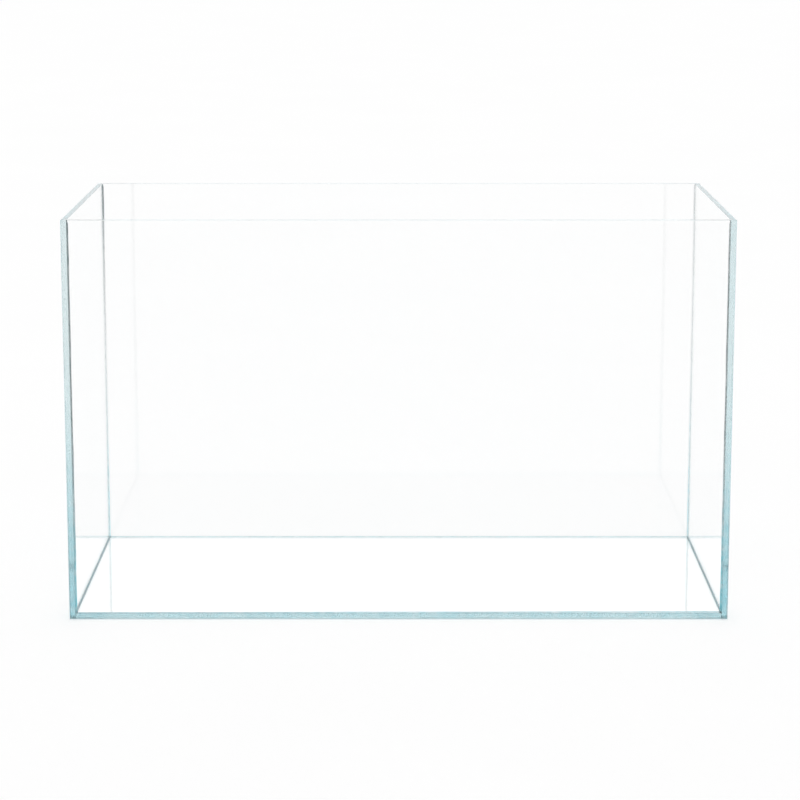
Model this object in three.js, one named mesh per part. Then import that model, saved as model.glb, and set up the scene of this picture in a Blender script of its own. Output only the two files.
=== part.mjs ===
import * as THREE from 'three';

// Rimless glass aquarium tank. Five panes of clear glass are bonded edge to face with clear
// silicone: the front and back panes run the full width, the side panes stand between them,
// and the base lies inside the four walls, flush with their lower edges.
// Millimetres. +X runs along the length, +Y to the back, +Z up. The origin is the centre of
// the underside.

const WIDTH = 600;
const DEPTH = 300;
const HEIGHT = 366;
const GLASS = 5; // thickness of every pane
const BOND = 0.5; // structural silicone film between two bonded panes
const ARRIS = 0.5; // 45 degree ground edge, on every edge of every pane
const BEAD = 2; // leg of the sealing bead in each inner corner
const BEAD_HOLLOW = 0.3; // how near the bead's curve is drawn to its corner, as a share of its leg
const BEAD_STEPS = 6; // straight steps in the bead's curve

// Inner faces of the walls, and the ends of the panes that stand between them.
const INNER_X = WIDTH / 2 - GLASS;
const INNER_Y = DEPTH / 2 - GLASS;
const FITTED_X = INNER_X - BOND;
const FITTED_Y = INNER_Y - BOND;
const SEAM_TOP = HEIGHT - ARRIS;

// Turns of a shape that is drawn in XY and extruded along Z. They only swap axes, so no
// coordinate is rounded.
const ACROSS_WIDTH = new THREE.Matrix4().set(0, 0, 1, 0, 1, 0, 0, 0, 0, 1, 0, 0, 0, 0, 0, 1);
const ACROSS_DEPTH = new THREE.Matrix4().set(1, 0, 0, 0, 0, 0, -1, 0, 0, 1, 0, 0, 0, 0, 0, 1);
const UPRIGHT = new THREE.Matrix4();

function glassMaterial() {
  return new THREE.MeshStandardMaterial({
    color: 0xcfe9ea,
    roughness: 0.03,
    metalness: 0,
    transparent: true,
    opacity: 0.35,
  });
}

function siliconeMaterial() {
  return new THREE.MeshStandardMaterial({
    color: 0xdfe8e8,
    roughness: 0.3,
    metalness: 0,
    transparent: true,
    opacity: 0.6,
  });
}

function part(name, geometry, material, x, y, z) {
  const mesh = new THREE.Mesh(geometry, material);
  mesh.name = name;
  mesh.position.set(x, y, z);
  return mesh;
}

// A rectangular pane with a ground arris along all its edges, centred on its own origin.
// Its thickness runs along Z before the turn.
function paneGeometry(length, height, turn) {
  const halfLength = length / 2 - ARRIS;
  const halfHeight = height / 2 - ARRIS;
  const outline = new THREE.Shape();
  outline.moveTo(-halfLength, -halfHeight);
  outline.lineTo(halfLength, -halfHeight);
  outline.lineTo(halfLength, halfHeight);
  outline.lineTo(-halfLength, halfHeight);
  outline.closePath();
  const geometry = new THREE.ExtrudeGeometry(outline, {
    depth: GLASS - 2 * ARRIS,
    bevelThickness: ARRIS,
    bevelSize: ARRIS,
    bevelSegments: 1,
  });
  geometry.translate(0, 0, ARRIS - GLASS / 2);
  return geometry.applyMatrix4(turn);
}

// A sealing bead: a corner fillet with a shallow hollow face. Its section has its right angle
// on the origin and its legs along the signs of u and v, and it is centred along its length.
function beadGeometry(u, v, length, turn) {
  const hollow = BEAD * BEAD_HOLLOW;
  const section = new THREE.Shape();
  section.moveTo(0, 0);
  section.lineTo(u * BEAD, 0);
  section.quadraticCurveTo(u * hollow, v * hollow, 0, v * BEAD);
  section.closePath();
  const geometry = new THREE.ExtrudeGeometry(section, {
    depth: length,
    curveSegments: BEAD_STEPS,
    bevelEnabled: false,
  });
  geometry.translate(0, 0, -length / 2);
  return geometry.applyMatrix4(turn);
}

function panes() {
  const middle = HEIGHT / 2;
  const wallX = WIDTH / 2 - GLASS / 2;
  const wallY = DEPTH / 2 - GLASS / 2;
  const long = () => paneGeometry(WIDTH, HEIGHT, ACROSS_DEPTH);
  const short = () => paneGeometry(2 * FITTED_Y, HEIGHT, ACROSS_WIDTH);
  const base = paneGeometry(2 * FITTED_X, 2 * FITTED_Y, UPRIGHT);
  return [
    part('base_pane', base, glassMaterial(), 0, 0, GLASS / 2),
    part('front_pane', long(), glassMaterial(), 0, -wallY, middle),
    part('back_pane', long(), glassMaterial(), 0, wallY, middle),
    part('left_pane', short(), glassMaterial(), -wallX, 0, middle),
    part('right_pane', short(), glassMaterial(), wallX, 0, middle),
  ];
}

// The upright seam at one corner: the film on the side pane's end, and the bead inside.
function uprightSeam(corner, sideX, sideY) {
  const filmLength = GLASS - ARRIS;
  const filmHeight = SEAM_TOP - ARRIS;
  const film = new THREE.BoxGeometry(filmLength, BOND, filmHeight);
  const filmX = sideX * (INNER_X + filmLength / 2);
  const filmY = sideY * (INNER_Y - BOND / 2);
  const beadHeight = SEAM_TOP - GLASS;
  const bead = beadGeometry(-sideX, -sideY, beadHeight, UPRIGHT);
  const beadX = sideX * INNER_X;
  const beadY = sideY * INNER_Y;
  return [
    part(`${corner}_bond`, film, siliconeMaterial(), filmX, filmY, ARRIS + filmHeight / 2),
    part(`${corner}_bead`, bead, siliconeMaterial(), beadX, beadY, GLASS + beadHeight / 2),
  ];
}

// The seam between the base and the front or back wall. The film fills the corners too.
function longBaseSeam(side, sideY) {
  const filmHeight = GLASS - ARRIS;
  const film = new THREE.BoxGeometry(2 * INNER_X, BOND, filmHeight);
  const filmY = sideY * (INNER_Y - BOND / 2);
  const beadLength = 2 * (INNER_X - BEAD);
  const bead = beadGeometry(-sideY, 1, beadLength, ACROSS_WIDTH);
  return [
    part(`base_${side}_bond`, film, siliconeMaterial(), 0, filmY, ARRIS + filmHeight / 2),
    part(`base_${side}_bead`, bead, siliconeMaterial(), 0, sideY * INNER_Y, GLASS),
  ];
}

// The seam between the base and the left or right wall, between the two long seams.
function shortBaseSeam(side, sideX) {
  const filmHeight = GLASS - ARRIS;
  const film = new THREE.BoxGeometry(BOND, 2 * FITTED_Y, filmHeight);
  const filmX = sideX * (INNER_X - BOND / 2);
  const beadLength = 2 * (INNER_Y - BEAD);
  const bead = beadGeometry(-sideX, 1, beadLength, ACROSS_DEPTH);
  return [
    part(`base_${side}_bond`, film, siliconeMaterial(), filmX, 0, ARRIS + filmHeight / 2),
    part(`base_${side}_bead`, bead, siliconeMaterial(), sideX * INNER_X, 0, GLASS),
  ];
}

const tank = new THREE.Group();
tank.name = 'aquarium_tank';
tank.add(...panes());
tank.add(...uprightSeam('front_left', -1, -1));
tank.add(...uprightSeam('front_right', 1, -1));
tank.add(...uprightSeam('back_left', -1, 1));
tank.add(...uprightSeam('back_right', 1, 1));
tank.add(...longBaseSeam('front', -1));
tank.add(...longBaseSeam('back', 1));
tank.add(...shortBaseSeam('left', -1));
tank.add(...shortBaseSeam('right', 1));

export default tank;
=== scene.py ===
"""The looks of a rimless glass aquarium tank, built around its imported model.

Metres, +X along the tank, +Y to the back, +Z up. Every pane and every strip of silicone is a
fine mesh of its own in the place that its node gives. Clear solids that are bonded overlap by a
hair, so that light passes from one into the other as through a real joint.
"""

import math

import bmesh
import bpy
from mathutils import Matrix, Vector, noise

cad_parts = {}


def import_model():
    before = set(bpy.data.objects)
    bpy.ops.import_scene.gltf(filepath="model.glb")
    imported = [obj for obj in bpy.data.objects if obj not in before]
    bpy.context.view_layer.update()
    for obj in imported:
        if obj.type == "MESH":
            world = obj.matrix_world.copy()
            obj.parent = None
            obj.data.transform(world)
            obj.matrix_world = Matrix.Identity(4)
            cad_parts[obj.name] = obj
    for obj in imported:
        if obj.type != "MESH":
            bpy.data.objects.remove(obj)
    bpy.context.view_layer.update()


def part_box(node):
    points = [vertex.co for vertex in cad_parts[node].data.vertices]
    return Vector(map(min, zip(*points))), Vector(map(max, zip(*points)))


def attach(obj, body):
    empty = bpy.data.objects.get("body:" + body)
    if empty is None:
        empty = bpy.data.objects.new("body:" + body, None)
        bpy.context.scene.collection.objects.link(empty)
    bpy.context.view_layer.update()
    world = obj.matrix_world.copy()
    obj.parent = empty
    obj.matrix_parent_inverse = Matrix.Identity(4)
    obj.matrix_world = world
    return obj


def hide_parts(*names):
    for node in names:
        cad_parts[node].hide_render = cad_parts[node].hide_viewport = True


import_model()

MM = 0.001
WHITE = (1, 1, 1)
MIX_FACTOR, MIX_A, MIX_B, MIX_RESULT = 0, 6, 7, 2  # where a colour mix keeps its sockets
MOST_OF_NOISE = (0.3, 0.7)  # where most of a noise texture's values lie
SEED_STEP = 7.3  # how far apart the wobbles of two seeds are

# Panes: which axis each one's thickness runs along.
PANES = {"base_pane": 2, "front_pane": 1, "back_pane": 1, "left_pane": 0, "right_pane": 0}
ARRIS = 0.3 * MM  # ground 45 degree edge of a pane
ARRIS_FOOT = 0.5 * MM  # the same on a wall's foot, and on the front edge of the base
ARRIS_SPREAD = 0.22  # how much its width varies along an edge, as a share
ARRIS_WAVE = 40 * MM  # the length that it varies over
ARRIS_CROWN = 0.44  # its middle, as a share of its width: 0.5 is flat, less is rounded
EDGE_STEP = 9 * MM  # mesh step along a pane's edge
GRAIN_ALONG = 40  # grinding marks along an edge, for each metre
GRAIN_ACROSS = 2500  # and across it
GRAIN_DETAIL = 3.0

GLASS_IOR = 1.52
ABSORPTION = (0.85, 0.42, 0.36)  # red, green and blue light lost in glass, per metre
ABSORPTION_DENSITY = 30.0
EDGE_ROUGHNESS = 0.03
EDGE_ROUGHNESS_RANGE = (0.6, 1.4)  # share of it between two grinding marks, and on one
EDGE_CLOUD = (0.93, 0.965, 0.97)  # colour of the dullest patches of a ground edge
EDGE_CLOUD_SCALE = 40.0
FACE_WAVE_SCALE = 11.0  # the slow waves of float glass
GLASS_BUMP = 0.02 * MM
EDGE_BUMP_SHARE = 0.02  # height of a grinding mark, as a share of a wave's

# Upright seams: the corner's sides in x and y, the bead's width and grey at its foot and top
# (the grey is painted shade), its painted teal light at the foot, and the film's painted teal
# light high up and at the foot.
CORNERS = (
    ("front_left", -1, -1, (1.8 * MM, 1.5 * MM), (0.85, 0.9), 0.7, (0.0, 0.3)),
    ("front_right", 1, -1, (1.8 * MM, 1.4 * MM), (0.8, 0.8), 0.7, (0.05, 0.36)),
    ("back_left", -1, 1, (1.4 * MM, 1.0 * MM), (0.1, 1.0), 0.25, (0.0, 0.3)),
    ("back_right", 1, 1, (1.4 * MM, 1.1 * MM), (0.1, 0.25), 0.25, (0.0, 0.3)),
)
# Seams round the base: the axis across the seam, its side on that axis, the bead's width and
# grey of painted shade at its low and high ends, and its painted teal light.
BASE_SEAMS = (
    ("front", 1, -1, (0.7 * MM, 1.9 * MM), (0.12, 0.12), 0.35),
    ("back", 1, 1, (1.0 * MM, 0.9 * MM), (0.0, 0.0), 0.1),
    ("left", 0, -1, (1.2 * MM, 1.1 * MM), (0.25, 0.25), 1.0),
    ("right", 0, 1, (1.1 * MM, 1.2 * MM), (0.2, 0.2), 1.0),
)
# painted teal light of the base films, high up and at the foot
BASE_FILM_PAINTED_TEALS = (0.2, 0.2)
OVERLAP = 0.04 * MM  # how far silicone sinks into the glass that it is bonded to
SEAM_STEP = 3 * MM  # mesh step along a seam
BEAD_LIMIT = 2 * MM  # the widest that a bead gets
BEAD_ARC = 8  # straight steps in its hollow face
BEAD_HOLLOW = 0.36  # how near that face is drawn to the corner: 0.5 is flat, less is hollow
BEAD_SPREAD = 0.16  # how much each width varies, as a share
BEAD_WAVES = (28 * MM, 33 * MM)  # the lengths that its two widths vary over
BEAD_SECOND_SEED = 40  # added to a bead's seed for the second of its widths
BEAD_REACH = 1 * MM  # how far a base bead runs into the corner beads
BEAD_FADE = 3 * MM  # the length over which an upright bead thins at its top
BEAD_END = 0.45  # and the share of its width that is left there
PAINTED_SHADE_POWER = 4  # a bead's painted shade changes mostly near its high end
PAINTED_SHADE_LOST = 0.5  # share of an upright bead's painted shade that the painted teal light takes over at its foot
FILM_BACK = 0.12 * MM  # how far the outer edge of a film has drawn back
FILM_SPREAD = 0.6  # how much that varies, as a share
FILM_WAVE = 40 * MM  # the length that it varies over
FILM_TONE = 0.04
FOOT_TONE = 0.8  # grey at the very foot of an upright film, darker than the rest of it
FOOT_HEIGHT = 1.5 * MM
# Painted teal light: the silicone is coloured like light that has run a long way through the glass, more
# so lower down.
PAINTED_TEAL_LOW = 50 * MM  # height of the full painted teal light
PAINTED_TEAL_HIGH = 240 * MM  # and where it begins
PAINTED_TEAL_POWER = 2  # how late it comes on, going down

SILICONE_IOR = 1.41
# grey that paints shade into the beads: the dark lines that they refract and reflect from darker parts of
# the room
SILICONE_GREY = (0.12, 0.17, 0.18)
# teal that paints in the colour of light gathered on a long run through the glass
PAINTED_LIGHT_TEAL = (0.18, 0.72, 0.83)
SILICONE_BUMP = 0.02 * MM
HAZE_SCALE = 90.0
HAZE_ROUGHNESS = (0.04, 0.14)
HAZE_SHADE_SHARE = (0.85, 1.15)  # share of the grey, painted shade on the beads, in its clearest and haziest patches
RIPPLE_SCALE = 260.0
SWIRL_SCALE = 130.0
SWIRL_TWIST = 1.5
SWIRL_BAND = (0.35, 0.65)
SWIRL_PAINTED_TEAL = (0.55, 1.45)  # share of the painted teal light in the palest and deepest swirls

FLOOR_GAP = 0.2 * MM  # air between the underside and the floor
FLOOR_SIZE = 40  # half its width, in metres
FLOOR_PARTS = 8
FLOOR_LOW = (0.92, 0.92, 0.92)
FLOOR_HIGH = (0.95, 0.95, 0.95)
FLOOR_CLOUD_SCALE = 3.0
FLOOR_GRAIN_SCALE = 60.0
FLOOR_ROUGHNESS = (0.85, 0.95)
FLOOR_GLOW = 0.42  # light of the floor's own, as of a lit table

LIGHT_BACK = 1.46  # the sweep behind the tank
LIGHT_FRONT = 0.68  # the rest of the room
LIGHT_TOP = 0.8  # the soft light overhead
BACK_EDGE = (0.75, 0.95)  # direction's y where the sweep begins and is full
TOP_EDGE = (0.2, 0.75)  # direction's z where the overhead light begins and is full
LIGHT_BOUNCES = 160  # light runs along inside a pane from face to face many times
DIFFUSE_BOUNCES = 6
TRANSPARENT_BOUNCES = 16

CAMERA_AT = (0.0013, -2.4788, 0.6548)
CAMERA_PITCH = 10.96  # degrees below level
CAMERA_LENS = 118.9
CAMERA_SENSOR = 36
CAMERA_REACH = 200


# ---------------------------------------------------------------- materials


class Nodes:
    """A short hand for node trees."""

    def __init__(self, owner):
        owner.use_nodes = True
        self.tree = owner.node_tree
        self.tree.nodes.clear()

    def add(self, kind, **values):
        node = self.tree.nodes.new(kind)
        for name, value in values.items():
            key = name.replace("_", " ")
            if key in node.inputs:
                node.inputs[key].default_value = value
            else:
                setattr(node, name, value)
        return node

    def link(self, source, target):
        self.tree.links.new(source, target)

    def attribute(self, name, output="Fac"):
        return self.add("ShaderNodeAttribute", attribute_name=name).outputs[output]

    def place(self):
        return self.add("ShaderNodeTexCoord").outputs["Object"]

    def noise(self, vector, scale, detail=2.0, distortion=0.0):
        node = self.add("ShaderNodeTexNoise", Scale=scale, Detail=detail, Distortion=distortion)
        self.link(vector, node.inputs["Vector"])
        return node.outputs["Factor" if "Factor" in node.outputs else "Fac"]

    def spread(self, value, to, band=(0.0, 1.0)):
        """Maps a band of a value's range to the two numbers in to."""
        node = self.add("ShaderNodeMapRange", From_Min=band[0], From_Max=band[1])
        node.inputs["To Min"].default_value = to[0]
        node.inputs["To Max"].default_value = to[1]
        self.link(value, node.inputs["Value"])
        return node.outputs[0]

    def math(self, operation, a, b):
        node = self.add("ShaderNodeMath", operation=operation)
        for socket, value in zip(node.inputs, (a, b)):
            if isinstance(value, (int, float)):
                socket.default_value = value
            else:
                self.link(value, socket)
        return node.outputs[0]

    def mix(self, factor, low, high):
        node = self.add("ShaderNodeMix", data_type="RGBA")
        self.link(factor, node.inputs[MIX_FACTOR])
        node.inputs[MIX_A].default_value = (*low, 1)
        node.inputs[MIX_B].default_value = (*high, 1)
        return node.outputs[MIX_RESULT]

    def tinted(self, one, two):
        """One colour multiplied by another."""
        node = self.add("ShaderNodeMix", data_type="RGBA", blend_type="MULTIPLY")
        node.inputs[MIX_FACTOR].default_value = 1
        self.link(one, node.inputs[MIX_A])
        self.link(two, node.inputs[MIX_B])
        return node.outputs[MIX_RESULT]

    def bump(self, height, distance, shader):
        node = self.add("ShaderNodeBump", Strength=1.0, Distance=distance)
        self.link(height, node.inputs["Height"])
        self.link(node.outputs[0], shader.inputs["Normal"])


def new_material(name):
    material = bpy.data.materials.new(name)
    return material, Nodes(material)


def principled(nodes, **sockets):
    shader = nodes.add("ShaderNodeBsdfPrincipled")
    for name, value in sockets.items():
        shader.inputs[name.replace("_", " ")].default_value = value
    out = nodes.add("ShaderNodeOutputMaterial")
    nodes.link(shader.outputs[0], out.inputs["Surface"])
    return shader, out


def glass_material():
    """Low-iron float glass. The mesh attribute "edge" is 1 on ground edges and 0 on the two
    faces, and "grain" runs along an edge and across it."""
    material, nodes = new_material("float_glass")
    shader, out = principled(nodes, Transmission_Weight=1.0, IOR=GLASS_IOR)
    edge = nodes.attribute("edge")
    place = nodes.place()
    streaks = nodes.noise(nodes.attribute("grain", "Vector"), 1.0, GRAIN_DETAIL)
    rough = [EDGE_ROUGHNESS * share for share in EDGE_ROUGHNESS_RANGE]
    roughness = nodes.math("MULTIPLY", edge, nodes.spread(streaks, rough, MOST_OF_NOISE))
    nodes.link(roughness, shader.inputs["Roughness"])
    cloud = nodes.math("MULTIPLY", edge, nodes.noise(place, EDGE_CLOUD_SCALE))
    nodes.link(nodes.mix(cloud, WHITE, EDGE_CLOUD), shader.inputs["Base Color"])
    marks = nodes.math("MULTIPLY", nodes.math("MULTIPLY", edge, streaks), EDGE_BUMP_SHARE)
    nodes.bump(nodes.math("ADD", nodes.noise(place, FACE_WAVE_SCALE), marks), GLASS_BUMP, shader)
    volume = nodes.add("ShaderNodeVolumeAbsorption")
    volume.inputs["Color"].default_value = (*[1 - a / ABSORPTION_DENSITY for a in ABSORPTION], 1)
    volume.inputs["Density"].default_value = ABSORPTION_DENSITY
    nodes.link(volume.outputs[0], out.inputs["Volume"])
    return material


def silicone_material():
    """Cured clear silicone: a slight haze, and the ripple that a tooling finger leaves. Its mesh
    attributes give how grey it looks, which on the beads is painted shade, and how much painted
    teal light it carries: the glass's colour in light that has run a long way through the glass."""
    material, nodes = new_material("clear_silicone")
    shader, _ = principled(nodes, Transmission_Weight=1.0, IOR=SILICONE_IOR)
    place = nodes.place()
    haze = nodes.noise(place, HAZE_SCALE)
    nodes.link(nodes.spread(haze, HAZE_ROUGHNESS, MOST_OF_NOISE), shader.inputs["Roughness"])
    # grey, painted shade on the beads, varied by the haze
    patches = nodes.spread(haze, HAZE_SHADE_SHARE, MOST_OF_NOISE)
    grey_and_painted_shade = nodes.math("MULTIPLY", nodes.attribute("grey_and_painted_shade"), patches)
    grey = nodes.mix(grey_and_painted_shade, WHITE, SILICONE_GREY)
    # painted teal light, the glass's colour in light that has run a long way through it, varied in swirls
    swirl = nodes.noise(place, SWIRL_SCALE, distortion=SWIRL_TWIST)
    swirl = nodes.spread(swirl, SWIRL_PAINTED_TEAL, SWIRL_BAND)
    painted_teal = nodes.mix(nodes.math("MULTIPLY", nodes.attribute("painted_teal_light"), swirl), WHITE, PAINTED_LIGHT_TEAL)
    nodes.link(nodes.tinted(grey, painted_teal), shader.inputs["Base Color"])
    nodes.bump(nodes.noise(place, RIPPLE_SCALE), SILICONE_BUMP, shader)
    return material


def floor_material():
    material, nodes = new_material("pale_floor")
    shader, _ = principled(nodes, Specular_IOR_Level=0.0)
    place = nodes.place()
    cloud = nodes.noise(place, FLOOR_CLOUD_SCALE)
    nodes.link(nodes.mix(cloud, FLOOR_LOW, FLOOR_HIGH), shader.inputs["Base Color"])
    grain = nodes.noise(place, FLOOR_GRAIN_SCALE)
    nodes.link(nodes.spread(grain, FLOOR_ROUGHNESS), shader.inputs["Roughness"])
    shader.inputs["Emission Color"].default_value = (*WHITE, 1)
    shader.inputs["Emission Strength"].default_value = FLOOR_GLOW
    return material


# ---------------------------------------------------------------- meshes


def finish_mesh(name, bm, material):
    bmesh.ops.recalc_face_normals(bm, faces=bm.faces)
    mesh = bpy.data.meshes.new(name)
    bm.to_mesh(mesh)
    bm.free()
    mesh.materials.append(material)
    piece = bpy.data.objects.new(name, mesh)
    bpy.context.scene.collection.objects.link(piece)
    return piece


def object_piece(suffix, node, bm, material):
    piece = finish_mesh(node + suffix, bm, material)
    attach(piece, "root")
    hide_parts(node)


def low_share(height):
    """0 high up a joint, and 1 near its foot."""
    share = (PAINTED_TEAL_HIGH - height) / (PAINTED_TEAL_HIGH - PAINTED_TEAL_LOW)
    return max(0.0, min(1.0, share)) ** PAINTED_TEAL_POWER


def uneven(seed, distance, scale, amount):
    """A slow wobble round 1 along a length."""
    return 1 + amount * noise.noise(Vector((distance / scale, SEED_STEP * seed, 0.5)))


def between(pair, share):
    return pair[0] + (pair[1] - pair[0]) * share


def skin(bm, rings):
    """Closes a row of rings into one solid, and returns its side faces."""
    sides = []
    for one, two in zip(rings, rings[1:]):
        for i, corner in enumerate(one):
            j = (i + 1) % len(one)
            sides.append(bm.faces.new((corner, one[j], two[j], two[i])))
    bm.faces.new(rings[0])
    bm.faces.new(rings[-1])
    return sides


def pane_outline(corners, seed):
    """Points round a pane's face. Each has its place, the way in from its edge, the width of the
    arris there, and how far along the outline it is."""
    inward = [Vector((0, 1)), Vector((-1, 0)), Vector((0, -1)), Vector((1, 0))]
    outline = []
    walked = 0
    for side in range(4):
        start, end = corners[side], corners[(side + 1) % 4]
        length = (end - start).length
        steps = max(2, round(length / EDGE_STEP))
        arris = ARRIS_FOOT if side == 0 else ARRIS
        for step in range(steps):
            turn = inward[side] + inward[side - 1] if step == 0 else inward[side]
            along = walked + step * length / steps
            width = arris * uneven(seed, along, ARRIS_WAVE, ARRIS_SPREAD)
            outline.append((start.lerp(end, step / steps), turn, width, along))
        walked += length
    return outline


def pane_piece(node, axis, seed, material):
    """A slab with a hand-held arris: its width varies a little along every edge."""
    low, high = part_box(node)
    u, v = [i for i in range(3) if i != axis]
    corners = [(low[u], low[v]), (high[u], low[v]), (high[u], high[v]), (low[u], high[v])]
    outline = pane_outline([Vector(corner) for corner in corners], seed)
    bm = bmesh.new()
    edge = bm.faces.layers.float.new("edge")
    grain = bm.verts.layers.float_vector.new("grain")
    profile = [(1, 0), (ARRIS_CROWN, ARRIS_CROWN), (0, 1)]
    rings = []
    for face, way, steps in ((low[axis], 1, profile), (high[axis], -1, profile[::-1])):
        for inset, depth in steps:
            ring = []
            for place, turn, width, along in outline:
                at = [0, 0, 0]
                at[u], at[v] = place + turn * (width * inset)
                at[axis] = face + way * width * depth
                ring.append(bm.verts.new(at))
                ring[-1][grain] = (along * GRAIN_ALONG, at[axis] * GRAIN_ACROSS, seed + inset)
            rings.append(ring)
    for side in skin(bm, rings):
        side[edge] = 1
    object_piece("_glass", node, bm, material)


def silicone_layers(bm):
    layers = bm.verts.layers.float
    layers.new("grey_and_painted_shade")
    layers.new("painted_teal_light")
    return layers["grey_and_painted_shade"], layers["painted_teal_light"]


def bead_piece(node, start, end, u, v, legs, painted_shade_greys, painted_teal_full, seed, material, upright=False):
    """A hollow fillet along the corner line from start to end, pressed in with a finger. u and v
    point along its two faces; legs and the pair after it are its widths and its greys at the two
    ends, the greys being painted shade. An upright bead thins out at its top, and carries painted
    teal light at its foot only."""
    length = (end - start).length
    steps = max(2, round(length / SEAM_STEP))
    bm = bmesh.new()
    grey_and_painted_shade, painted_teal_light = silicone_layers(bm)
    rings = []
    for step in range(steps + 1):
        share = step / steps
        walked = share * length
        centre = start.lerp(end, share)
        leg = between(legs, share)
        if upright:
            leg *= min(1.0, between((BEAD_END, 1), (length - walked) / BEAD_FADE))
        leg_u = min(BEAD_LIMIT, leg * uneven(seed, walked, BEAD_WAVES[0], BEAD_SPREAD))
        leg_v = min(BEAD_LIMIT, leg * uneven(seed + BEAD_SECOND_SEED, walked, BEAD_WAVES[1], BEAD_SPREAD))
        section = [(-OVERLAP, -OVERLAP), (leg_u, -OVERLAP)]
        for i in range(BEAD_ARC + 1):
            t = i / BEAD_ARC
            bend = BEAD_HOLLOW * 2 * t * (1 - t)
            section.append((leg_u * ((1 - t) ** 2 + bend), leg_v * (t * t + bend)))
        section.append((-OVERLAP, leg_v))
        foot = low_share(centre.z) if upright else 0
        ring = [bm.verts.new(centre + u * a + v * b) for a, b in section]
        for vertex in ring:
            # painted shade, partly swapped for painted teal light near an upright bead's foot
            vertex[grey_and_painted_shade] = between(painted_shade_greys, share**PAINTED_SHADE_POWER) * (1 - PAINTED_SHADE_LOST * foot)
            vertex[painted_teal_light] = painted_teal_full * foot if upright else painted_teal_full
        rings.append(ring)
    skin(bm, rings)
    object_piece("_silicone", node, bm, material)


def film_piece(node, across, inward, painted_teals, seed, material):
    """The film that fills a joint. It is sunk a hair into both panes, along the axis across. Its
    outer edge, away from inward, has drawn back into the joint in a wavy hollow line."""
    low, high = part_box(node)
    low[across] -= OVERLAP
    high[across] += OVERLAP
    wide = next(i for i in range(3) if inward[i])
    run = 3 - across - wide
    upright = run == 2
    steps = max(2, round((high[run] - low[run]) / SEAM_STEP))
    inner, outer = (high[wide], low[wide]) if inward[wide] > 0 else (low[wide], high[wide])
    middle = (low[across] + high[across]) / 2
    bm = bmesh.new()
    grey_and_painted_shade, painted_teal_light = silicone_layers(bm)
    rings = []
    for step in range(steps + 1):
        at = low[run] + (high[run] - low[run]) * step / steps
        back = inward[wide] * FILM_BACK * uneven(seed, at, FILM_WAVE, FILM_SPREAD)
        section = [(inner, low[across]), (inner, high[across]), (outer, high[across])]
        section += [(outer + back, middle), (outer, low[across])]
        ring = []
        for a, b in section:
            point = [0, 0, 0]
            point[wide], point[across], point[run] = a, b, at
            ring.append(bm.verts.new(point))
            ring[-1][grey_and_painted_shade] = FOOT_TONE if upright and at < FOOT_HEIGHT else FILM_TONE
            # painted teal light, growing toward the foot
            ring[-1][painted_teal_light] = between(painted_teals, low_share(point[2]))
        rings.append(ring)
    skin(bm, rings)
    object_piece("_silicone", node, bm, material)


def upright_seam(corner, side_x, side_y, legs, painted_shade_greys, painted_teal_light, film_painted_teals, seed, material):
    film_piece(f"{corner}_bond", 1, (-side_x, 0, 0), film_painted_teals, seed, material)
    node = f"{corner}_bead"
    low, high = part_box(node)
    x = low.x if side_x < 0 else high.x
    y = low.y if side_y < 0 else high.y
    start = Vector((x, y, low.z - OVERLAP))
    end = Vector((x, y, high.z))
    u = Vector((-side_x, 0, 0))
    v = Vector((0, -side_y, 0))
    bead_piece(node, start, end, u, v, legs, painted_shade_greys, painted_teal_light, seed, material, upright=True)


def base_seam(side, across, sign, legs, painted_shade_greys, painted_teal_light, seed, material):
    film_piece(f"base_{side}_bond", across, (0, 0, 1), BASE_FILM_PAINTED_TEALS, seed, material)
    node = f"base_{side}_bead"
    low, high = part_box(node)
    along = 1 - across
    start = low.copy()
    start[across] = low[across] if sign < 0 else high[across]
    end = start.copy()
    start[along] = low[along] - BEAD_REACH
    end[along] = high[along] + BEAD_REACH
    inward = Vector((0, 0, 0))
    inward[across] = -sign
    bead_piece(node, start, end, inward, Vector((0, 0, 1)), legs, painted_shade_greys, painted_teal_light, seed, material)


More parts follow.
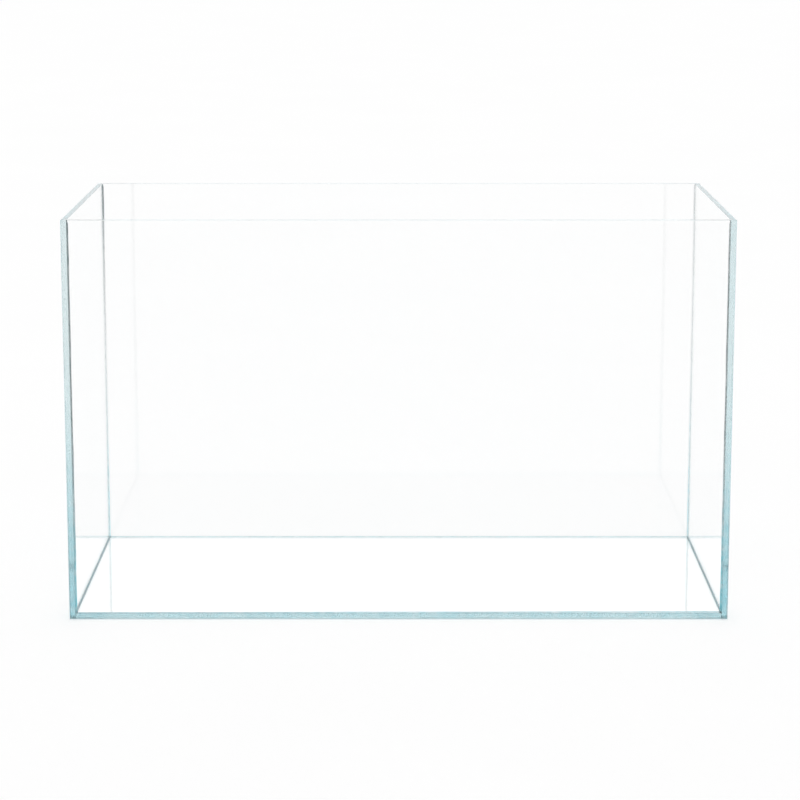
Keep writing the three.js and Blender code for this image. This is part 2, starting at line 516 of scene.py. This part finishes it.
def tank():
    glass = glass_material()
    silicone = silicone_material()
    for seed, (node, axis) in enumerate(PANES.items()):
        pane_piece(node, axis, seed, glass)
    for seed, corner in enumerate(CORNERS):
        upright_seam(*corner, seed, silicone)
    for seed, seam in enumerate(BASE_SEAMS, len(CORNERS)):
        base_seam(*seam, seed, silicone)


# ---------------------------------------------------------------- studio


def floor():
    bm = bmesh.new()
    bmesh.ops.create_grid(bm, x_segments=FLOOR_PARTS, y_segments=FLOOR_PARTS, size=FLOOR_SIZE)
    for vertex in bm.verts:
        vertex.co.z = -FLOOR_GAP
    piece = finish_mesh("studio_floor", bm, floor_material())


def world():
    """One large soft light overhead and a bright sweep behind, and a dimmer room in front."""
    background = bpy.data.worlds.new("studio")
    nodes = Nodes(background)
    out = nodes.add("ShaderNodeOutputWorld")
    light = nodes.add("ShaderNodeBackground")
    split = nodes.add("ShaderNodeSeparateXYZ")
    nodes.link(nodes.add("ShaderNodeTexCoord").outputs["Generated"], split.inputs[0])
    back = nodes.spread(split.outputs["Y"], (LIGHT_FRONT, LIGHT_BACK), BACK_EDGE)
    top = nodes.spread(split.outputs["Z"], (0.0, LIGHT_TOP), TOP_EDGE)
    nodes.link(nodes.math("MAXIMUM", back, top), light.inputs["Strength"])
    nodes.link(light.outputs[0], out.inputs["Surface"])
    bpy.context.scene.world = background


def camera():
    data = bpy.data.cameras.new("camera")
    data.sensor_width = CAMERA_SENSOR
    data.lens = CAMERA_LENS
    data.clip_end = CAMERA_REACH
    eye = bpy.data.objects.new("camera", data)
    eye.location = CAMERA_AT
    eye.rotation_euler = (math.radians(90 - CAMERA_PITCH), 0, 0)
    bpy.context.scene.collection.objects.link(eye)
    bpy.context.scene.camera = eye


def light_paths(scene):
    """Plain colours, sharp glass at every bounce, and enough bounces to reach a pane's far end."""
    scene.view_settings.view_transform = "Standard"
    scene.view_settings.look = "None"
    scene.cycles.max_bounces = LIGHT_BOUNCES
    scene.cycles.transmission_bounces = LIGHT_BOUNCES
    scene.cycles.glossy_bounces = LIGHT_BOUNCES
    scene.cycles.diffuse_bounces = DIFFUSE_BOUNCES
    scene.cycles.transparent_max_bounces = TRANSPARENT_BOUNCES
    scene.cycles.blur_glossy = 0


tank()
floor()
world()
camera()
light_paths(bpy.context.scene)
